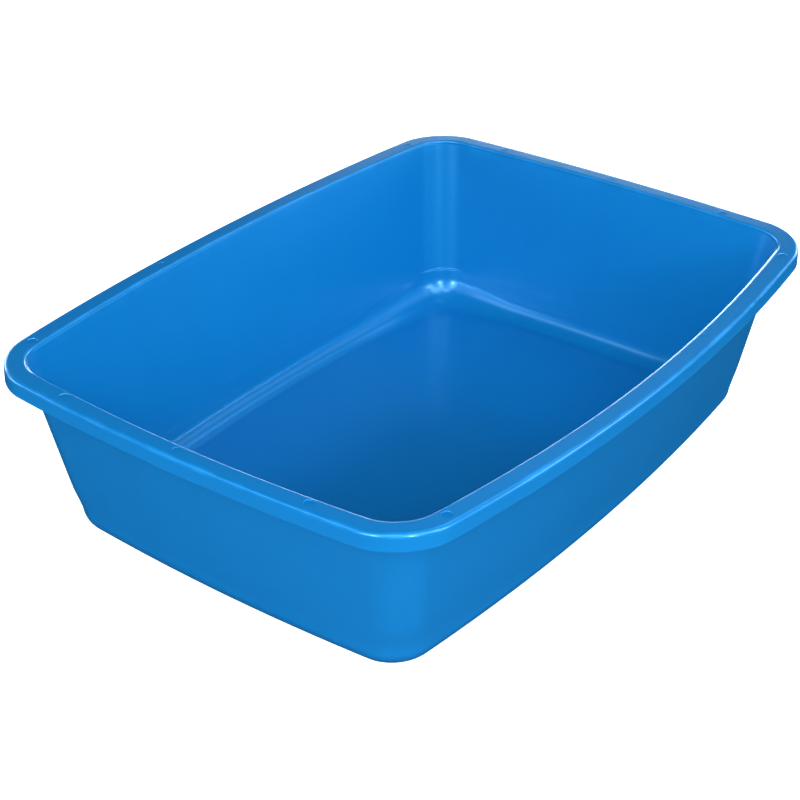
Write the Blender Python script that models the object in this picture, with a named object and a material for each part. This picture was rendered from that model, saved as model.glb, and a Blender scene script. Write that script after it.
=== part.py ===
"""Open litter pan: one thin-walled moulding with bowed, tapered sides and a turned-down rim.

Metres, +Z up, long side along X. The origin is on the ground below the middle of the pan.
The whole pan is one skin that runs from the middle of the underside, up the outside, round
the rim and down the inside to the middle of the floor, as a stack of closed rings.
"""

import math
from collections import namedtuple

import bmesh
import bpy
from mathutils import Matrix

# Overall sizes
LENGTH = 0.4804  # across the skirt, from the middle of one short side to the other
WIDTH = 0.3587  # across the skirt, from the middle of one long side to the other
HEIGHT = 0.1240  # ground to the top of the rim, before it sags
WALL = 0.0018  # thickness of walls, rim and skirt
FLOOR = 0.0020  # thickness of the floor

# Rim
RIM_WIDTH = 0.0128  # flat top, from the outer edge to the mouth
RIM_CORNER = 0.0339  # plan radius of the rim's outer corners
RIM_EDGE = 0.0026  # rounding between the top and the skirt
MOUTH_EDGE = 0.0015  # rounding between the top and the inner wall
SKIRT_DROP = 0.0112  # depth of the turned-down skirt below the rim's top
SKIRT_FLARE = 0.0002  # how far the skirt's lower edge stands out past the rim
LONG_SAG = 0.0037  # how far the rim dips at the middle of a long side
SHORT_SAG = 0.0014  # how far it dips at the middle of a short side

# Round ejector-pin marks pressed into the rim's top
MARK_RADIUS = 0.0031
MARK_DEPTH = 0.0004
MARK_FROM_MOUTH = 0.0046  # from the mouth to a mark's centre, so that it stays on the flat
LONG_SIDE_MARKS = 4
SHORT_SIDE_MARKS = 3
LONG_MARK_GAP = 0.0046  # from a rim corner's end to the nearest mark on a long side
SHORT_MARK_GAP = 0.0335  # the same on a short side
MARK_PIN_LENGTH = 0.010  # of the cutter that presses a mark

# Walls and base
BASE_LENGTH = 0.4038  # inside, where the end walls would meet the ground
BASE_WIDTH = 0.2795  # inside, where the side walls would meet the ground
BASE_CORNER = 0.0190  # plan radius of the inner corners at the base
FLOOR_FILLET = 0.0142  # inner rounding between wall and floor
BASE_EDGE = 0.0160  # outer rounding between wall and underside
LONG_BOW_RIM = 0.0189  # how far a long side bulges past its corners, at the rim
LONG_BOW_BASE = 0.0109  # the same at the base
SHORT_BOW_RIM = 0.0080
SHORT_BOW_BASE = 0.0052

# Small step in each inner corner, just above the floor fillet
LEDGE_HEIGHT = 0.0260
LEDGE_CORNER = 0.0040  # how much larger the corner radius is below the step
LEDGE_RISE = 0.0003
LEDGE_BLEND = 0.0080  # outside, the radius grows to match over this height above the step

# Smoothness
CORNER_STEPS = 8
SIDE_STEPS = 12
EDGE_STEPS = 3
FILLET_STEPS = 5
WALL_STEPS = 3
MARK_STEPS = 14
SHARP_ANGLE = math.radians(30)

PAN_COLOUR = (0.005, 0.159, 0.497, 1.0)
PAN_ROUGHNESS = 0.28

Plan = namedtuple("Plan", "half_x half_y corner bow_x bow_y")


def grown(plan, distance):
    """The same outline pushed outwards all round, or inwards when the distance is negative."""
    return plan._replace(
        half_x=plan.half_x + distance,
        half_y=plan.half_y + distance,
        corner=plan.corner + distance,
    )


RIM_PLAN = Plan(
    LENGTH / 2 - SKIRT_FLARE, WIDTH / 2 - SKIRT_FLARE, RIM_CORNER, SHORT_BOW_RIM, LONG_BOW_RIM
)
MOUTH_PLAN = grown(RIM_PLAN, -RIM_WIDTH)
BASE_PLAN = Plan(BASE_LENGTH / 2, BASE_WIDTH / 2, BASE_CORNER, SHORT_BOW_BASE, LONG_BOW_BASE)


def wall_plan(z, distance=0.0, corner_extra=0.0):
    """Outline of the tapered wall's inner face at a height, pushed outwards by a distance."""
    down = (HEIGHT - z) / HEIGHT
    top = grown(MOUTH_PLAN, -MOUTH_EDGE / 2)
    mixed = Plan(*(a + (b - a) * down for a, b in zip(top, BASE_PLAN)))
    plan = grown(mixed, distance)
    return plan._replace(corner=plan.corner + corner_extra)


def outline(plan):
    """Points round a rectangle with round corners and bowed sides, anticlockwise from above."""
    straight_x = plan.half_x - plan.bow_x
    straight_y = plan.half_y - plan.bow_y
    centre_x = straight_x - plan.corner
    centre_y = straight_y - plan.corner
    points = []
    for quarter in range(4):
        sign_x = 1 if quarter in (0, 3) else -1
        sign_y = 1 if quarter < 2 else -1
        for step in range(CORNER_STEPS + 1):
            angle = (quarter + step / CORNER_STEPS) * math.pi / 2
            x = sign_x * centre_x + plan.corner * math.cos(angle)
            y = sign_y * centre_y + plan.corner * math.sin(angle)
            points.append((x, y))
        # The next corner starts where this straight side ends.
        start_x, start_y = points[-1]
        if quarter % 2 == 0:
            end_x, end_y = -start_x, start_y
        else:
            end_x, end_y = start_x, -start_y
        for step in range(1, SIDE_STEPS):
            share = step / SIDE_STEPS
            points.append((start_x + (end_x - start_x) * share, start_y + (end_y - start_y) * share))
    return [bowed(x, y, plan, straight_x, straight_y) for x, y in points]


def bowed(x, y, plan, straight_x, straight_y):
    """A point of the straight-sided outline moved out to the bulging side."""
    across_x = 1 - (y / straight_y) ** 2
    across_y = 1 - (x / straight_x) ** 2
    return x * (1 + plan.bow_x / straight_x * across_x), y * (1 + plan.bow_y / straight_y * across_y)


def sagged(x, y, z, plan):
    """A height lowered where the rim sags, and less so further down."""
    u = x / plan.half_x
    v = y / plan.half_y
    sag = LONG_SAG * (1 - u * u) * v * v + SHORT_SAG * (1 - v * v) * u * u
    return z - max(sag, 0.0) * z / HEIGHT


def add_ring(mesh, plan, z):
    """One closed ring of vertices."""
    return [mesh.verts.new((x, y, sagged(x, y, z, plan))) for x, y in outline(plan)]


def quarter_turn(steps):
    """Angles from 0 to 90 degrees."""
    return [math.pi / 2 * step / steps for step in range(steps + 1)]


def outside_stations():
    """Outlines and heights from the underside, round the base edge and up to the rim."""
    foot = wall_plan(BASE_EDGE, WALL, LEDGE_CORNER)
    for angle in reversed(quarter_turn(FILLET_STEPS)):
        inward = BASE_EDGE * (1 - math.cos(angle))
        yield grown(foot, -inward), BASE_EDGE * (1 - math.sin(angle))
    yield wall_plan(LEDGE_HEIGHT, WALL, LEDGE_CORNER / 2), LEDGE_HEIGHT
    blend_top = LEDGE_HEIGHT + LEDGE_BLEND
    rim_under = HEIGHT - WALL
    for step in range(WALL_STEPS + 1):
        z = blend_top + (rim_under - blend_top) * step / WALL_STEPS
        yield wall_plan(z, WALL), z


def rim_stations():
    """Outlines and heights along the rim: under it, down and up the skirt, and over the top."""
    skirt_bottom = HEIGHT - SKIRT_DROP
    yield grown(RIM_PLAN, -WALL), HEIGHT - WALL
    yield grown(RIM_PLAN, SKIRT_FLARE - WALL), skirt_bottom
    yield grown(RIM_PLAN, SKIRT_FLARE), skirt_bottom
    for angle in quarter_turn(EDGE_STEPS):
        inward = RIM_EDGE * (1 - math.cos(angle))
        yield grown(RIM_PLAN, -inward), HEIGHT - RIM_EDGE * (1 - math.sin(angle))
    for angle in quarter_turn(EDGE_STEPS):
        inward = MOUTH_EDGE * math.sin(angle)
        drop = MOUTH_EDGE * (1 - math.cos(angle))
        yield grown(MOUTH_PLAN, MOUTH_EDGE - inward), HEIGHT - drop


def inside_stations():
    """Outlines and heights down the inner wall, over the corner step and round the fillet."""
    fillet_top = FLOOR + FLOOR_FILLET
    for step in range(1, WALL_STEPS):
        z = HEIGHT - (HEIGHT - LEDGE_HEIGHT) * step / WALL_STEPS
        yield wall_plan(z), z
    yield wall_plan(LEDGE_HEIGHT), LEDGE_HEIGHT
    for z in (LEDGE_HEIGHT - LEDGE_RISE, fillet_top):
        yield wall_plan(z, 0.0, LEDGE_CORNER), z
    heel = wall_plan(fillet_top, 0.0, LEDGE_CORNER)
    for angle in quarter_turn(FILLET_STEPS)[1:]:
        inward = FLOOR_FILLET * (1 - math.cos(angle))
        yield grown(heel, -inward), fillet_top - FLOOR_FILLET * math.sin(angle)


def skin(mesh, lower, upper):
    """A band of faces between two rings."""
    for i, corner in enumerate(lower):
        mesh.faces.new((lower[i - 1], corner, upper[i], upper[i - 1]))


def plastic(name, colour, roughness):
    """Glossy moulded polypropylene."""
    material = bpy.data.materials.new(name)
    material.use_nodes = True
    shader = material.node_tree.nodes["Principled BSDF"]
    shader.inputs["Base Color"].default_value = colour
    shader.inputs["Roughness"].default_value = roughness
    shader.inputs["Metallic"].default_value = 0.0
    return material


def evenly(count, reach):
    """Places along a side, from one end of the reach to the other."""
    return [reach * (2 * i / (count - 1) - 1) for i in range(count)]


def mark_centres():
    """Where the ejector-pin marks lie in plan."""
    straight_x = RIM_PLAN.half_x - RIM_PLAN.bow_x
    straight_y = RIM_PLAN.half_y - RIM_PLAN.bow_y
    inset = RIM_WIDTH - MARK_FROM_MOUTH
    for x in evenly(LONG_SIDE_MARKS, straight_x - RIM_CORNER - LONG_MARK_GAP):
        y = straight_y + RIM_PLAN.bow_y * (1 - (x / straight_x) ** 2) - inset
        yield x, y
        yield x, -y
    for y in evenly(SHORT_SIDE_MARKS, straight_y - RIM_CORNER - SHORT_MARK_GAP):
        x = straight_x + RIM_PLAN.bow_x * (1 - (y / straight_y) ** 2) - inset
        yield x, y
        yield -x, y


def build_mark_cutter():
    """Short pins that press the round marks into the rim's top."""
    mesh = bmesh.new()
    for x, y in mark_centres():
        z = sagged(x, y, HEIGHT, RIM_PLAN) - MARK_DEPTH + MARK_PIN_LENGTH / 2
        bmesh.ops.create_cone(
            mesh,
            cap_ends=True,
            segments=MARK_STEPS,
            radius1=MARK_RADIUS,
            radius2=MARK_RADIUS,
            depth=MARK_PIN_LENGTH,
            matrix=Matrix.Translation((x, y, z)),
        )
    data = bpy.data.meshes.new("mark_cutter")
    mesh.to_mesh(data)
    mesh.free()
    cutter = bpy.data.objects.new("mark_cutter", data)
    cutter.hide_render = True
    cutter.display_type = "WIRE"
    bpy.context.scene.collection.objects.link(cutter)
    return cutter


def build_pan():
    """The pan as one closed mesh."""
    mesh = bmesh.new()
    stations = [*outside_stations(), *rim_stations(), *inside_stations()]
    rings = [add_ring(mesh, plan, z) for plan, z in stations]
    for lower, upper in zip(rings, rings[1:]):
        skin(mesh, lower, upper)
    mesh.faces.new(reversed(rings[0]))
    mesh.faces.new(rings[-1])
    data = bpy.data.meshes.new("pan")
    mesh.to_mesh(data)
    mesh.free()
    data.shade_smooth()
    data.set_sharp_from_angle(angle=SHARP_ANGLE)
    pan = bpy.data.objects.new("pan", data)
    pan.data.materials.append(plastic("blue_plastic", PAN_COLOUR, PAN_ROUGHNESS))
    bpy.context.scene.collection.objects.link(pan)
    return pan


def press_marks(pan, cutter):
    """Cuts the ejector-pin marks into the rim."""
    marks = pan.modifiers.new("marks", "BOOLEAN")
    marks.operation = "DIFFERENCE"
    marks.object = cutter


for old in list(bpy.data.objects):
    bpy.data.objects.remove(old, do_unlink=True)
press_marks(build_pan(), build_mark_cutter())
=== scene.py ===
# Open litter pan: fine moulded shell around the fixed frame, with floor, lights and camera.
import math

import bmesh
import bpy
from mathutils import Matrix, Vector


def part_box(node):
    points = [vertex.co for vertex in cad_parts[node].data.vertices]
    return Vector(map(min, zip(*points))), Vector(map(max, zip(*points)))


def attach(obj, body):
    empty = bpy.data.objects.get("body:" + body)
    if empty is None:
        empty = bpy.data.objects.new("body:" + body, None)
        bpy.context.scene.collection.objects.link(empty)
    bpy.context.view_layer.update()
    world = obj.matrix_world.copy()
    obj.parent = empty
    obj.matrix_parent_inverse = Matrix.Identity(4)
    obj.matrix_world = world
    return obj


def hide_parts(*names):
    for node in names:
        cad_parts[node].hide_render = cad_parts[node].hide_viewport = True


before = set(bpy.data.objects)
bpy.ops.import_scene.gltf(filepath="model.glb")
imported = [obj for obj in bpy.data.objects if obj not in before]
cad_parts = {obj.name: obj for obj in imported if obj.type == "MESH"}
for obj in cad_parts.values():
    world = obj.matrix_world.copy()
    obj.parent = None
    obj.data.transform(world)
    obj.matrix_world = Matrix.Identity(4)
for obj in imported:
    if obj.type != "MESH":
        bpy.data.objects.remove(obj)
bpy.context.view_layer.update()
panLow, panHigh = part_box("pan")
scene = bpy.context.scene
scene.view_settings.view_transform = "Standard"
print("frame loaded")


# camera

cameraSetup = {
    "target": (-0.02965, -0.00322, 0.060),
    "azimuth": -52.998,  # degrees round the pan
    "elevation": 30.720,
    "distance": 1.19104,
    "lens": 82.29,  # mm on a 36 mm sensor
}


def placeCamera(setup):
    cameraData = bpy.data.cameras.new("camera")
    cameraData.lens = setup["lens"]
    cameraData.sensor_width = 36
    camera = bpy.data.objects.new("camera", cameraData)
    scene.collection.objects.link(camera)
    around = math.radians(setup["azimuth"])
    above = math.radians(setup["elevation"])
    back = Vector((
        math.sin(around) * math.cos(above),
        -math.cos(around) * math.cos(above),
        math.sin(above),
    ))
    camera.location = Vector(setup["target"]) + back * setup["distance"]
    camera.rotation_euler = (-back).to_track_quat("-Z", "Y").to_euler()
    scene.camera = camera


placeCamera(cameraSetup)
print("camera placed")


# shared mesh and node helpers

def meshObject(name, bm, material, smooth=True):
    mesh = bpy.data.meshes.new(name)
    bm.to_mesh(mesh)
    bm.free()
    mesh.polygons.foreach_set("use_smooth", [smooth] * len(mesh.polygons))
    mesh.materials.append(material)
    piece = bpy.data.objects.new(name, mesh)
    scene.collection.objects.link(piece)
    return piece


def newGroup(name, inputs, output):
    # inputs maps each number that goes in to its usual value; one number comes out
    group = bpy.data.node_groups.new(name, "ShaderNodeTree")
    for label, value in inputs.items():
        socket = group.interface.new_socket(label, in_out="INPUT", socket_type="NodeSocketFloat")
        socket.default_value = value
    group.interface.new_socket(output, in_out="OUTPUT", socket_type="NodeSocketFloat")
    start = group.nodes.new("NodeGroupInput")
    end = group.nodes.new("NodeGroupOutput")
    return group, start, end


def addNode(tree, kind, links=None, **settings):
    # links maps an input's name or index to an output socket or a plain value
    node = tree.nodes.new(kind)
    for key, value in settings.items():
        setattr(node, key, value)
    for key, value in (links or {}).items():
        if isinstance(value, bpy.types.NodeSocket):
            tree.links.new(value, node.inputs[key])
        else:
            node.inputs[key].default_value = value
    return node


def addMath(tree, operation, first, second, third=0.0):
    return addNode(tree, "ShaderNodeMath", {0: first, 1: second, 2: third}, operation=operation).outputs[0]


def addNoise(tree, place, scale, detail, unevenness=0.5):
    noise = {"Vector": place, "Scale": scale, "Detail": detail, "Roughness": unevenness}
    return addNode(tree, "ShaderNodeTexNoise", noise).outputs[0]


def addRamp(tree, value, start, end):
    # 0 at start, 1 at end
    return addNode(tree, "ShaderNodeMapRange", {0: value, 1: start, 2: end}).outputs[0]


def objectPlace(tree):
    return addNode(tree, "ShaderNodeTexCoord").outputs["Object"]


def addBlend(tree, factor, first, second):
    # 0, 6, 7 and 2 are the colour mix's factor, two colours and result
    return addNode(tree, "ShaderNodeMix", {0: factor, 6: first, 7: second}, data_type="RGBA").outputs[2]


# blue plastic

panFinish = {
    "colour": (0.0025, 0.143, 0.385, 1.0),
    "wornColour": (0.007, 0.185, 0.490, 1.0),  # where edges have been rubbed
    "roughness": 0.29,  # of the pigmented skin
    "ior": 2.00,
    "reflection": (0.09, 0.45, 1.0, 1.0),  # colour that the pigment gives to the broad gloss
    "glaze": 0.45,  # clear polished skin from the mould
    "glazeRoughness": 0.19,
    "peelScale": 420.0,  # orange peel, bumps per metre
    "peelHeight": 0.0000007,
    "waveScale": 20.0,  # slow unevenness from cooling, per metre
    "waveHeight": 0.00007,
    "flowScale": 9.0,  # streaks round the gate
    "flowDepth": 0.018,
    "scuffScale": 90.0,  # scratches per metre
    "scuffAmount": 0.35,
    "scuffRoughness": 0.10,
    "scuffGlaze": 0.25,  # share of the glaze that a scuff takes off
    "wearRoughness": 0.06,
    "wearScale": 55.0,
    "wearDetail": 4.0,
    "wearStart": 0.42,
    "wearFull": 0.68,
}


def buildSkinGroup():
    # height of the moulded skin in metres: slow waves, orange peel
    group, start, end = newGroup(
        "mouldedSkin",
        {"Wave scale": 20.0, "Wave height": 0.00007, "Peel scale": 420.0, "Peel height": 0.0000007},
        "Height",
    )
    place = objectPlace(group)
    wave = addNoise(group, place, start.outputs["Wave scale"], 1.0, 0.4)
    peel = addNoise(group, place, start.outputs["Peel scale"], 2.0)
    waveRise = addMath(group, "MULTIPLY", wave, start.outputs["Wave height"])
    height = addMath(group, "MULTIPLY_ADD", peel, start.outputs["Peel height"], waveRise)
    group.links.new(height, end.inputs[0])
    return group


flowLook = {
    "stretch": (0.8, 0.8, 0.4),  # how much a streak changes along its length
    "streakDetail": 3.0,
    "streakUnevenness": 0.55,
    "patchScale": 7.0,
    "faint": 0.15,
    "full": 0.40,
}


def buildFlowGroup(look):
    # streaks that the plastic leaves as it runs outwards from the gate in the middle of the floor
    group, start, end = newGroup("flowMarks", {"Scale": 9.0}, "Mask")
    place = objectPlace(group)
    level = addNode(group, "ShaderNodeVectorMath", {0: place, 1: (1.0, 1.0, 0.0)}, operation="MULTIPLY")
    outward = addNode(group, "ShaderNodeVectorMath", {0: level.outputs[0]}, operation="NORMALIZE")
    stretch = addNode(group, "ShaderNodeVectorMath", {0: place, 1: look["stretch"]}, operation="MULTIPLY")
    along = addNode(group, "ShaderNodeVectorMath", {0: outward.outputs[0], 1: stretch.outputs[0]})
    streak = addNoise(group, along.outputs[0], start.outputs["Scale"], look["streakDetail"],
                      look["streakUnevenness"])
    patch = addNoise(group, place, look["patchScale"], 1.0)
    mask = addMath(group, "MULTIPLY", streak, patch)
    group.links.new(addRamp(group, mask, look["faint"], look["full"]), end.inputs[0])
    return group


scuffLook = {
    "directions": ((0.30, 0.030), (0.55, 0.045), (1.75, 0.022)),  # turn in radians, squeeze along
    "tilt": (0.5, 0.3),
    "lineEdge": 0.030,  # where a scratch starts and where it is full, in cell widths
    "lineCore": 0.006,
    "patchScale": 26.0,
    "patchDetail": 3.0,
    "patchStart": 0.45,
    "patchFull": 0.85,
}


def buildScuffGroup(look):
    # hair-fine scratches in three directions, in patches where the pan has been rubbed
    group, start, end = newGroup("fineScuffs", {"Scale": 90.0, "Amount": 0.5}, "Mask")
    place = objectPlace(group)
    lines = []
    for turn, squeeze in look["directions"]:
        turned = addNode(group, "ShaderNodeMapping", {
            "Vector": place, "Rotation": (*look["tilt"], turn), "Scale": (squeeze, 1.0, 1.0)})
        cells = {"Vector": turned.outputs[0], "Scale": start.outputs["Scale"]}
        border = addNode(group, "ShaderNodeTexVoronoi", cells, feature="DISTANCE_TO_EDGE").outputs[0]
        lines.append(addRamp(group, border, look["lineEdge"], look["lineCore"]))
    scratches = lines[0]
    for line in lines[1:]:
        scratches = addMath(group, "MAXIMUM", scratches, line)
    patch = addNoise(group, place, look["patchScale"], look["patchDetail"])
    rubbed = addRamp(group, patch, look["patchStart"], look["patchFull"])
    mask = addMath(group, "MULTIPLY", scratches, rubbed)
    group.links.new(addMath(group, "MULTIPLY", mask, start.outputs["Amount"]), end.inputs[0])
    return group


def makePanPlastic(finish):
    material = bpy.data.materials.new("bluePolypropylene")
    material.use_nodes = True
    tree = material.node_tree
    shader = tree.nodes["Principled BSDF"]
    shader.inputs["IOR"].default_value = finish["ior"]
    shader.inputs["Specular Tint"].default_value = finish["reflection"]
    shader.inputs["Coat Roughness"].default_value = finish["glazeRoughness"]
    skin = addNode(tree, "ShaderNodeGroup", node_tree=buildSkinGroup())
    for label, key in (("Wave scale", "waveScale"), ("Wave height", "waveHeight"),
                       ("Peel scale", "peelScale"), ("Peel height", "peelHeight")):
        skin.inputs[label].default_value = finish[key]
    flow = addNode(tree, "ShaderNodeGroup", {"Scale": finish["flowScale"]},
                   node_tree=buildFlowGroup(flowLook))
    rubbing = {"Scale": finish["scuffScale"], "Amount": finish["scuffAmount"]}
    scuffs = addNode(tree, "ShaderNodeGroup", rubbing, node_tree=buildScuffGroup(scuffLook))
    scuffed = scuffs.outputs["Mask"]
    edge = addNode(tree, "ShaderNodeAttribute", attribute_name="edge").outputs["Fac"]
    rub = addNoise(tree, objectPlace(tree), finish["wearScale"], finish["wearDetail"])
    worn = addMath(tree, "MULTIPLY", edge, addRamp(tree, rub, finish["wearStart"], finish["wearFull"]))
    # colour: pigment streaks, paler rubbed edges
    plain = finish["colour"]
    deep = (*(value * (1 - finish["flowDepth"]) for value in plain[:3]), 1.0)
    pale = (*(value * (1 + finish["flowDepth"]) for value in plain[:3]), 1.0)
    pigment = addBlend(tree, flow.outputs["Mask"], deep, pale)
    colour = addBlend(tree, worn, pigment, finish["wornColour"])
    tree.links.new(colour, shader.inputs["Base Color"])
    # gloss: duller in scuffs and on rubbed edges
    gloss = addMath(tree, "MULTIPLY_ADD", scuffed, finish["scuffRoughness"], finish["roughness"])
    gloss = addMath(tree, "MULTIPLY_ADD", worn, finish["wearRoughness"], gloss)
    tree.links.new(gloss, shader.inputs["Roughness"])
    lost = addMath(tree, "MULTIPLY", scuffed, -finish["glaze"] * finish["scuffGlaze"])
    tree.links.new(addMath(tree, "ADD", lost, finish["glaze"]), shader.inputs["Coat Weight"])
    bump = addNode(tree, "ShaderNodeBump", {"Height": skin.outputs["Height"], "Distance": 1.0,
                                           "Strength": 1.0})
    tree.links.new(bump.outputs["Normal"], shader.inputs["Normal"])
    return material


# pan

panShape = {
    "wall": 0.0018,
    "floor": 0.0020,
    "crown": 0.00063,  # how far the rim's corners lie below the unsagged top
    "rimWidth": 0.0128,
    "rimCorner": 0.0339,
    "rimEdge": 0.0026,
    "mouthEdge": 0.0015,
    "skirtDrop": 0.0112,
    "skirtFlare": 0.0002,
    "skirtLip": 0.0005,  # rounding of the skirt's lower edge
    "longSag": 0.0037,
    "shortSag": 0.0014,
    "baseLength": 0.4038,
    "baseWidth": 0.2795,
    "baseCorner": 0.0190,
    "fillet": 0.0142,
    "cornerFillet": 0.0220,  # the same in the corners
    "baseEdge": 0.0160,
    "longBowRim": 0.0189,
    "longBowBase": 0.0109,
    "shortBowRim": 0.0080,
    "shortBowBase": 0.0052,
    "ledgeHeight": 0.0260,
    "ledgeCorner": 0.0040,
    "ledgeRise": 0.0003,
    "ledgeLip": 0.0003,
    "ledgeCurve": ((0.08, 0.0), (0.20, 0.2), (0.80, 0.6)),  # shares of the ledge's width and drop
    "ledgeEnd": 0.94,  # share of its width at the foot of the drop
    "ledgeBlend": 0.0080,  # outside, the corner radius takes the ledge up over this height
    "floorDome": 0.0010,  # how far the middle of the floor stands up after cooling
    "support": 0.0006,  # flat strip beside each rounding, which keeps the flats flat
    "cornerSteps": 24,
    "sideSteps": 40,
    "edgeSteps": 6,
    "lipSteps": 3,
    "filletSteps": 12,
    "wallSteps": 14,
    "floorSteps": 14,
}
shape = panShape
panTop = panHigh.z + shape["crown"]
panLength = panHigh.x - panLow.x
panWidth = panHigh.y - panLow.y

# a plan is half length, half width, corner radius, and the bow of the short and of the long sides
rimPlan = (
    panLength / 2 - shape["skirtFlare"],
    panWidth / 2 - shape["skirtFlare"],
    shape["rimCorner"],
    shape["shortBowRim"],
    shape["longBowRim"],
)
basePlan = (
    shape["baseLength"] / 2,
    shape["baseWidth"] / 2,
    shape["baseCorner"],
    shape["shortBowBase"],
    shape["longBowBase"],
)


def grow(plan, distance, cornerExtra=0.0):
    return (plan[0] + distance, plan[1] + distance, plan[2] + distance + cornerExtra, *plan[3:])


def shrink(plan, share):
    return tuple(value * share for value in plan)


mouthPlan = grow(rimPlan, -shape["rimWidth"])


def wallPlan(z, distance=0.0, cornerExtra=0.0):
    top = grow(mouthPlan, -shape["mouthEdge"] / 2)
    down = (panTop - z) / panTop
    mixed = [a + (b - a) * down for a, b in zip(top, basePlan)]
    return grow(mixed, distance, cornerExtra)


def spotOnPlan(place, plan):
    # place counts round the ring: each quarter is a corner's steps and then a side's steps
    halfX, halfY, corner, bowX, bowY = plan
    straightX, straightY = halfX - bowX, halfY - bowY
    centreX, centreY = straightX - corner, straightY - corner
    quarter, step = divmod(place, shape["cornerSteps"] + shape["sideSteps"])
    signX = 1 if quarter in (0, 3) else -1
    signY = 1 if quarter < 2 else -1
    turn = min(step / shape["cornerSteps"], 1)
    angle = (quarter + turn) * math.pi / 2
    x = signX * centreX + corner * math.cos(angle)
    y = signY * centreY + corner * math.sin(angle)
    along = max(step - shape["cornerSteps"], 0) / shape["sideSteps"]
    if quarter % 2 == 0:
        x -= 2 * signX * centreX * along
    else:
        y -= 2 * signY * centreY * along
    bowedX = x * (1 + bowX / straightX * (1 - (y / straightY) ** 2))
    bowedY = y * (1 + bowY / straightY * (1 - (x / straightX) ** 2))
    return bowedX, bowedY


def sagHere(x, y, z, plan):
    u, v = x / plan[0], y / plan[1]
    sag = shape["longSag"] * (1 - u * u) * v * v + shape["shortSag"] * (1 - v * v) * u * u
    return z - max(sag, 0.0) * z / panTop


def rounding(steps):
    return [math.pi / 2 * step / steps for step in range(steps + 1)]


def domeHere(share):
    # lift of the floor from its rim (share 1) to its middle (share 0)
    return shape["floorDome"] * (1 - share * share) ** 2


def outerExtra(z):
    # the outer corners are rounder low down, beside the ledge
    edge, blendTop = shape["baseEdge"], shape["ledgeHeight"] + shape["ledgeBlend"]
    share = max(min((blendTop - z) / (blendTop - edge), 1), 0)
    return shape["ledgeCorner"] * share * share * (3 - 2 * share)


def outsideRings():
    # from the middle of the underside round the base edge and up the outer wall
    edge = shape["baseEdge"]
    foot = wallPlan(edge, shape["wall"], shape["ledgeCorner"])
    flat = grow(foot, -edge - shape["support"])
    for step in range(1, shape["floorSteps"]):
        share = step / shape["floorSteps"]
        yield shrink(flat, share), domeHere(share)
    yield flat, 0.0
    for angle in reversed(rounding(shape["filletSteps"])):
        yield grow(foot, -edge * (1 - math.cos(angle))), edge * (1 - math.sin(angle))
    under = panTop - shape["wall"]
    for step in range(1, shape["wallSteps"]):
        z = edge + (under - edge) * step / shape["wallSteps"]
        yield wallPlan(z, shape["wall"], outerExtra(z)), z
    yield wallPlan(under - shape["support"], shape["wall"]), under - shape["support"]
    yield wallPlan(under, shape["wall"]), under


def rimRings():
    # under the rim, down inside the skirt, round its lip, up outside and over the top
    wall, flare, lip = shape["wall"], shape["skirtFlare"], shape["skirtLip"]
    strip = shape["support"]
    bottom = panTop - shape["skirtDrop"]
    skirtRise = shape["skirtDrop"] - shape["rimEdge"]

    def skirt(z, distance=0.0):
        share = (panTop - shape["rimEdge"] - z) / skirtRise
        return grow(rimPlan, distance + flare * max(min(share, 1), 0))

    yield grow(wallPlan(panTop - wall, wall), strip), panTop - wall
    yield grow(rimPlan, -wall - strip), panTop - wall
    yield grow(rimPlan, -wall), panTop - wall
    yield skirt(panTop - wall - strip, -wall), panTop - wall - strip
    yield skirt(bottom + lip + strip, -wall), bottom + lip + strip
    for angle in rounding(shape["lipSteps"]):
        inward = lip * (1 - math.cos(angle))
        yield skirt(bottom, -wall + inward), bottom + lip * (1 - math.sin(angle))
    for angle in reversed(rounding(shape["lipSteps"])):
        inward = lip * (1 - math.cos(angle))
        yield skirt(bottom, -inward), bottom + lip * (1 - math.sin(angle))
    yield skirt(bottom + lip + strip), bottom + lip + strip
    edge = shape["rimEdge"]
    yield skirt(panTop - edge - strip), panTop - edge - strip
    for angle in rounding(shape["edgeSteps"]):
        yield grow(rimPlan, -edge * (1 - math.cos(angle))), panTop - edge * (1 - math.sin(angle))
    yield grow(rimPlan, -edge - strip), panTop
    inner = shape["mouthEdge"]
    yield grow(mouthPlan, inner + strip), panTop
    for angle in rounding(shape["edgeSteps"]):
        drop = inner * (1 - math.cos(angle))
        yield grow(mouthPlan, inner - inner * math.sin(angle)), panTop - drop


def cornerShare(place):
    # 1 round a corner, fading to 0 along the first quarter of a side
    step = place % (shape["cornerSteps"] + shape["sideSteps"]) - shape["cornerSteps"]
    away = max(min(step, shape["sideSteps"] - step), 0) / (shape["sideSteps"] / 4)
    share = 1 - min(away, 1)
    return share * share * (3 - 2 * share)


def insideFillet(place):
    return shape["fillet"] + (shape["cornerFillet"] - shape["fillet"]) * cornerShare(place)


def heelSpot(place, angle, inset=0.0):
    # plan and height on the fillet: angle 0 is the wall's foot, a quarter turn is the floor
    radius = insideFillet(place)
    heelTop = shape["floor"] + radius
    heel = wallPlan(heelTop, 0.0, shape["ledgeCorner"])
    return grow(heel, -radius * (1 - math.cos(angle)) - inset), heelTop - radius * math.sin(angle)


def betweenLedgeAndHeel(place, share):
    heelTop = shape["floor"] + insideFillet(place)
    z = heelTop + (shape["ledgeHeight"] - shape["ledgeRise"] - shape["ledgeLip"] - heelTop) * share
    return wallPlan(z, 0.0, shape["ledgeCorner"]), z


def floorSpot(place, share):
    flat, z = heelSpot(place, math.pi / 2, shape["support"])
    return shrink(flat, share), z + domeHere(share)


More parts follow.
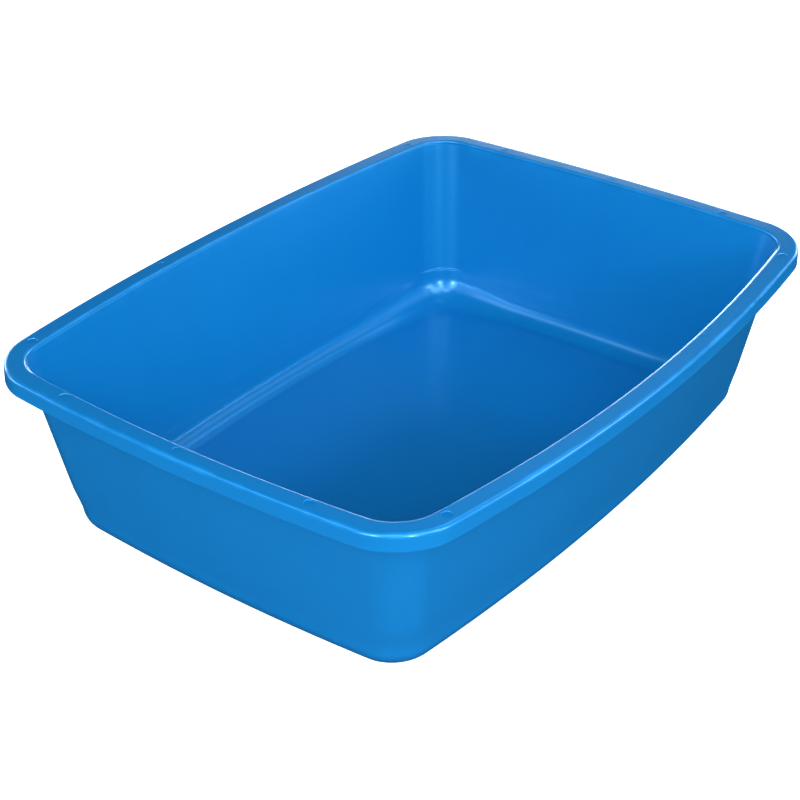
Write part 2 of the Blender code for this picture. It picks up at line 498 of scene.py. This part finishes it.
def insideRings():
    # down the inner wall, over the corner ledge, round the fillet to the middle of the floor
    ledge, lip, strip = shape["ledgeHeight"], shape["ledgeLip"], shape["support"]
    extra, rise = shape["ledgeCorner"], shape["ledgeRise"]
    top = panTop - shape["mouthEdge"] - strip
    for step in range(shape["wallSteps"]):
        z = top - (top - ledge - strip) * step / shape["wallSteps"]
        yield wallPlan(z), z
    yield wallPlan(ledge + lip + strip), ledge + lip + strip
    yield wallPlan(ledge + lip), ledge + lip
    for out, down in shape["ledgeCurve"]:
        yield wallPlan(ledge, 0.0, extra * out), ledge - rise * down
    yield wallPlan(ledge - rise, 0.0, extra * shape["ledgeEnd"]), ledge - rise
    yield wallPlan(ledge - rise - lip, 0.0, extra), ledge - rise - lip
    for share in (0.93, 0.5, 0.07):
        yield lambda place, share=share: betweenLedgeAndHeel(place, share)
    for angle in rounding(shape["filletSteps"]):
        yield lambda place, angle=angle: heelSpot(place, angle)
    for step in reversed(range(1, shape["floorSteps"] + 1)):
        yield lambda place, share=step / shape["floorSteps"]: floorSpot(place, share)


def layRing(ringVerts, places, ring):
    # a ring is one plan and height, or a function that gives them at each place
    for vert in ringVerts:
        plan, z = ring(vert[places]) if callable(ring) else ring
        x, y = spotOnPlan(vert[places], plan)
        vert.co = (x, y, sagHere(x, y, z, plan))


def edgeShares(rings):
    # 1 where the skin turns tightly outwards from one ring to the next, 0 where it is flat
    profile = [ring(0) if callable(ring) else ring for ring in rings]
    profile = [Vector((plan[0], z)) for plan, z in profile]
    shares = [0.0]
    for before, here, after in zip(profile, profile[1:], profile[2:]):
        first, second = here - before, after - here
        bend = first.cross(second) / (first.length * second.length)
        shares.append(max(min(bend / (first.length + second.length) * 2 * shape["rimEdge"], 1), 0))
    return [*shares, 0.0]


def mouldPan(material):
    bm = bmesh.new()
    places = bm.verts.layers.int.new("place")
    edgeLayer = bm.verts.layers.float.new("edge")
    ringSteps = 4 * (shape["cornerSteps"] + shape["sideSteps"])
    bmesh.ops.create_circle(bm, segments=ringSteps, radius=panLength / 2)
    bm.verts.ensure_lookup_table()
    for index, vert in enumerate(bm.verts):
        vert[places] = index
    rings = [*outsideRings(), *rimRings(), *insideRings()]
    layRing(bm.verts, places, rings[0])
    edges = list(bm.edges)
    firstEdges = edges
    for ring, share in zip(rings[1:], edgeShares(rings)[1:]):
        grown = bmesh.ops.extrude_edge_only(bm, edges=edges)["geom"]
        ringVerts = [item for item in grown if isinstance(item, bmesh.types.BMVert)]
        layRing(ringVerts, places, ring)
        for vert in ringVerts:
            vert[edgeLayer] = share
        edges = [item for item in grown if isinstance(item, bmesh.types.BMEdge)]
    bmesh.ops.contextual_create(bm, geom=firstEdges)
    bmesh.ops.contextual_create(bm, geom=edges)
    bmesh.ops.recalc_face_normals(bm, faces=bm.faces)
    return meshObject("panBody", bm, material)


pinMarks = {
    "radius": 0.0031,
    "depth": 0.0004,
    "taper": 0.45,  # how much wider per height above the mark's bottom
    "fromMouth": 0.0046,
    "perLongSide": 4,
    "perShortSide": 3,
    "longGap": 0.0046,  # from a corner's end to the nearest mark
    "shortGap": 0.0335,
    "pinLength": 0.004,
    "steps": 40,
}
gateMark = {
    "dishRadius": 0.0070,  # shallow dish under the floor's middle
    "dishDepth": 0.0007,
    "stubRadius": 0.0017,  # what is left of the sprue, below the dish's edge
    "stubHeight": 0.0004,
    "dishFlat": 0.8,  # share of the dish's radius that is flat
    "stubTaper": 0.7,
    "steps": 48,
}
weldDistance = 0.00001
sharpAngle = math.radians(50)


def evenly(count, reach):
    return [reach * (2 * index / (count - 1) - 1) for index in range(count)]


def markPlaces(marks):
    halfX, halfY, corner, bowX, bowY = rimPlan
    straightX, straightY = halfX - bowX, halfY - bowY
    inset = shape["rimWidth"] - marks["fromMouth"]
    for x in evenly(marks["perLongSide"], straightX - corner - marks["longGap"]):
        y = straightY + bowY * (1 - (x / straightX) ** 2) - inset
        yield x, y
        yield x, -y
    for y in evenly(marks["perShortSide"], straightY - corner - marks["shortGap"]):
        x = straightX + bowX * (1 - (y / straightY) ** 2) - inset
        yield x, y
        yield -x, y


def makePins(marks):
    bm = bmesh.new()
    for x, y in markPlaces(marks):
        z = sagHere(x, y, panTop, rimPlan) - marks["depth"] + marks["pinLength"] / 2
        bmesh.ops.create_cone(bm, cap_ends=True, segments=marks["steps"], depth=marks["pinLength"],
                              radius1=marks["radius"],
                              radius2=marks["radius"] + marks["taper"] * marks["pinLength"],
                              matrix=Matrix.Translation((x, y, z)))
    return bm


def makeGateTool(gate):
    # a turned tool for the middle of the underside, hollow where the sprue's stub stays
    top = shape["floorDome"] + gate["dishDepth"]
    outer, stub = gate["dishRadius"], gate["stubRadius"]
    tip = top - gate["stubHeight"]
    profile = [(0, -outer), (outer, -outer), (outer, shape["floorDome"]),
               (outer * gate["dishFlat"], top), (stub, top), (stub * gate["stubTaper"], tip), (0, tip)]
    bm = bmesh.new()
    line = [bm.verts.new((x, 0, z)) for x, z in profile]
    edges = [bm.edges.new(pair) for pair in zip(line, line[1:])]
    bmesh.ops.spin(bm, geom=line + edges, angle=math.tau, steps=gate["steps"], axis=(0, 0, 1),
                   cent=(0, 0, 0), use_merge=True)
    bmesh.ops.remove_doubles(bm, verts=bm.verts, dist=weldDistance)
    bmesh.ops.recalc_face_normals(bm, faces=bm.faces)
    return bm


def cutAway(piece, toolMeshes):
    # one exact cut for each tool, applied at once, and the tool thrown away
    for bm in toolMeshes:
        tool = meshObject("cuttingTool", bm, piece.data.materials[0])
        cut = piece.modifiers.new("cut", "BOOLEAN")
        cut.operation = "DIFFERENCE"
        cut.object = tool
        graph = bpy.context.evaluated_depsgraph_get()
        cutMesh = bpy.data.meshes.new_from_object(piece.evaluated_get(graph))
        piece.modifiers.remove(cut)
        whole = piece.data
        piece.data = cutMesh
        cutMesh.name = whole.name
        bpy.data.meshes.remove(whole)
        toolMesh = tool.data
        bpy.data.objects.remove(tool)
        bpy.data.meshes.remove(toolMesh)
    piece.data.set_sharp_from_angle(angle=sharpAngle)


panPlastic = makePanPlastic(panFinish)
panBody = mouldPan(panPlastic)
print("pan moulded:", len(panBody.data.polygons), "faces")
cutAway(panBody, [makePins(pinMarks), makeGateTool(gateMark)])
print("marks pressed:", len(panBody.data.polygons), "faces")
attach(panBody, "root")
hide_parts("pan")


# floor and lights

studio = {
    "floorRadius": 6.0,
    "floorSteps": 96,
    "floorRoughness": 0.9,
    "floorWhite": (0.93, 0.93, 0.93, 1.0),  # as the camera sees it
    "floorGlow": 0.85,
    "floorBounce": (0.72, 0.72, 0.72, 1.0),  # as it lights the pan
    "floorMirrored": (0.01, 0.02, 0.03, 1.0),  # as the pan's gloss shows it
    "skyColour": (0.45, 0.72, 1.0, 1.0),
    "skyStrength": 0.045,
    "lightDistance": 2.0,
}
cool = (0.80, 0.97, 1.0)
rearTint = (0.35, 0.72, 1.0)  # keeps the glancing reflections on the rim blue
studioLights = {
    # degrees round the pan from +X, degrees up, watts, metres wide and high, colour
    "leftKey": (-167, 34, 6.0, 0.16, 1.00, cool),
    "leftSpot": (-167, 22, 10.0, 0.14, 0.35, cool),
    "rightKey": (-124, 34, 8.0, 0.16, 1.00, cool),
    "rightSpot": (-124, 22, 10.0, 0.14, 0.35, cool),
    "cornerTop": (-145, 58, 4.5, 0.6, 0.4, cool),
    "frontBank": (200, 40, 5.0, 0.9, 0.9, cool),
    "frontRightBank": (240, 46, 5.5, 0.8, 0.8, cool),
    "leftBank": (180, 34, 4.5, 0.3, 1.1, cool),
    "leftLow": (180, 20, 5.0, 0.5, 0.5, cool),
    "leftSide": (150, 40, 3.8, 0.7, 0.7, cool),
    "sideBank": (268, 50, 9.0, 0.9, 0.9, cool),
    "sideStrip": (270, 30, 7.5, 0.5, 1.1, cool),
    "sideLow": (280, 25, 8.4, 0.6, 0.6, cool),
    "farSideLow": (308, 16, 7.0, 0.6, 0.6, cool),
    "rightBank": (327, 41, 1.4, 0.7, 0.7, cool),
    "endBank": (0, 60, 4.5, 0.8, 0.8, rearTint),
    "overhead": (0, 88, 0.8, 1.0, 1.0, rearTint),
    "backLow": (80, 10, 14.0, 1.2, 0.5, cool),
    "backEndLow": (30, 8, 12.0, 1.0, 0.4, cool),
    "backLeftLow": (120, 12, 10.0, 1.0, 0.5, cool),
    "endLow": (350, 12, 10.0, 0.9, 0.5, cool),
}


def layFloor(setup):
    material = bpy.data.materials.new("paleFloor")
    material.use_nodes = True
    tree = material.node_tree
    shader = tree.nodes["Principled BSDF"]
    shader.inputs["Roughness"].default_value = setup["floorRoughness"]
    shader.inputs["Specular IOR Level"].default_value = 0.0
    shader.inputs["Emission Strength"].default_value = 1.0
    path = addNode(tree, "ShaderNodeLightPath")
    seen = path.outputs["Is Camera Ray"]
    paint = addBlend(tree, path.outputs["Is Glossy Ray"], setup["floorBounce"], setup["floorMirrored"])
    tree.links.new(addBlend(tree, seen, paint, setup["floorWhite"]), shader.inputs["Base Color"])
    glow = (*[setup["floorGlow"]] * 3, 1.0)
    tree.links.new(addBlend(tree, seen, (0.0, 0.0, 0.0, 1.0), glow), shader.inputs["Emission Color"])
    bm = bmesh.new()
    bmesh.ops.create_circle(bm, cap_ends=True, segments=setup["floorSteps"],
                          radius=setup["floorRadius"])
    floor = meshObject("studioFloor", bm, material, smooth=False)


def lightSky(setup):
    world = bpy.data.worlds.new("studioSky")
    world.use_nodes = True
    tree = world.node_tree
    background = tree.nodes["Background"]
    seen = addNode(tree, "ShaderNodeLightPath").outputs["Is Camera Ray"]
    dim = (*(value * setup["skyStrength"] for value in setup["skyColour"][:3]), 1.0)
    tree.links.new(addBlend(tree, seen, dim, (1.0, 1.0, 1.0, 1.0)), background.inputs["Color"])
    scene.world = world


def hangLight(name, around, above, watts, width, height, colour):
    lightData = bpy.data.lights.new(name, "AREA")
    lightData.shape = "ELLIPSE"
    lightData.size = width
    lightData.size_y = height
    lightData.energy = watts
    lightData.color = colour
    light = bpy.data.objects.new(name, lightData)
    scene.collection.objects.link(light)
    around, above = math.radians(around), math.radians(above)
    level = math.cos(above)
    out = Vector((math.cos(around) * level, math.sin(around) * level, math.sin(above)))
    light.location = out * studio["lightDistance"]
    light.rotation_euler = out.to_track_quat("Z", "Y").to_euler()


layFloor(studio)
lightSky(studio)
for lightName, values in studioLights.items():
    hangLight(lightName, *values)
print("studio lit")
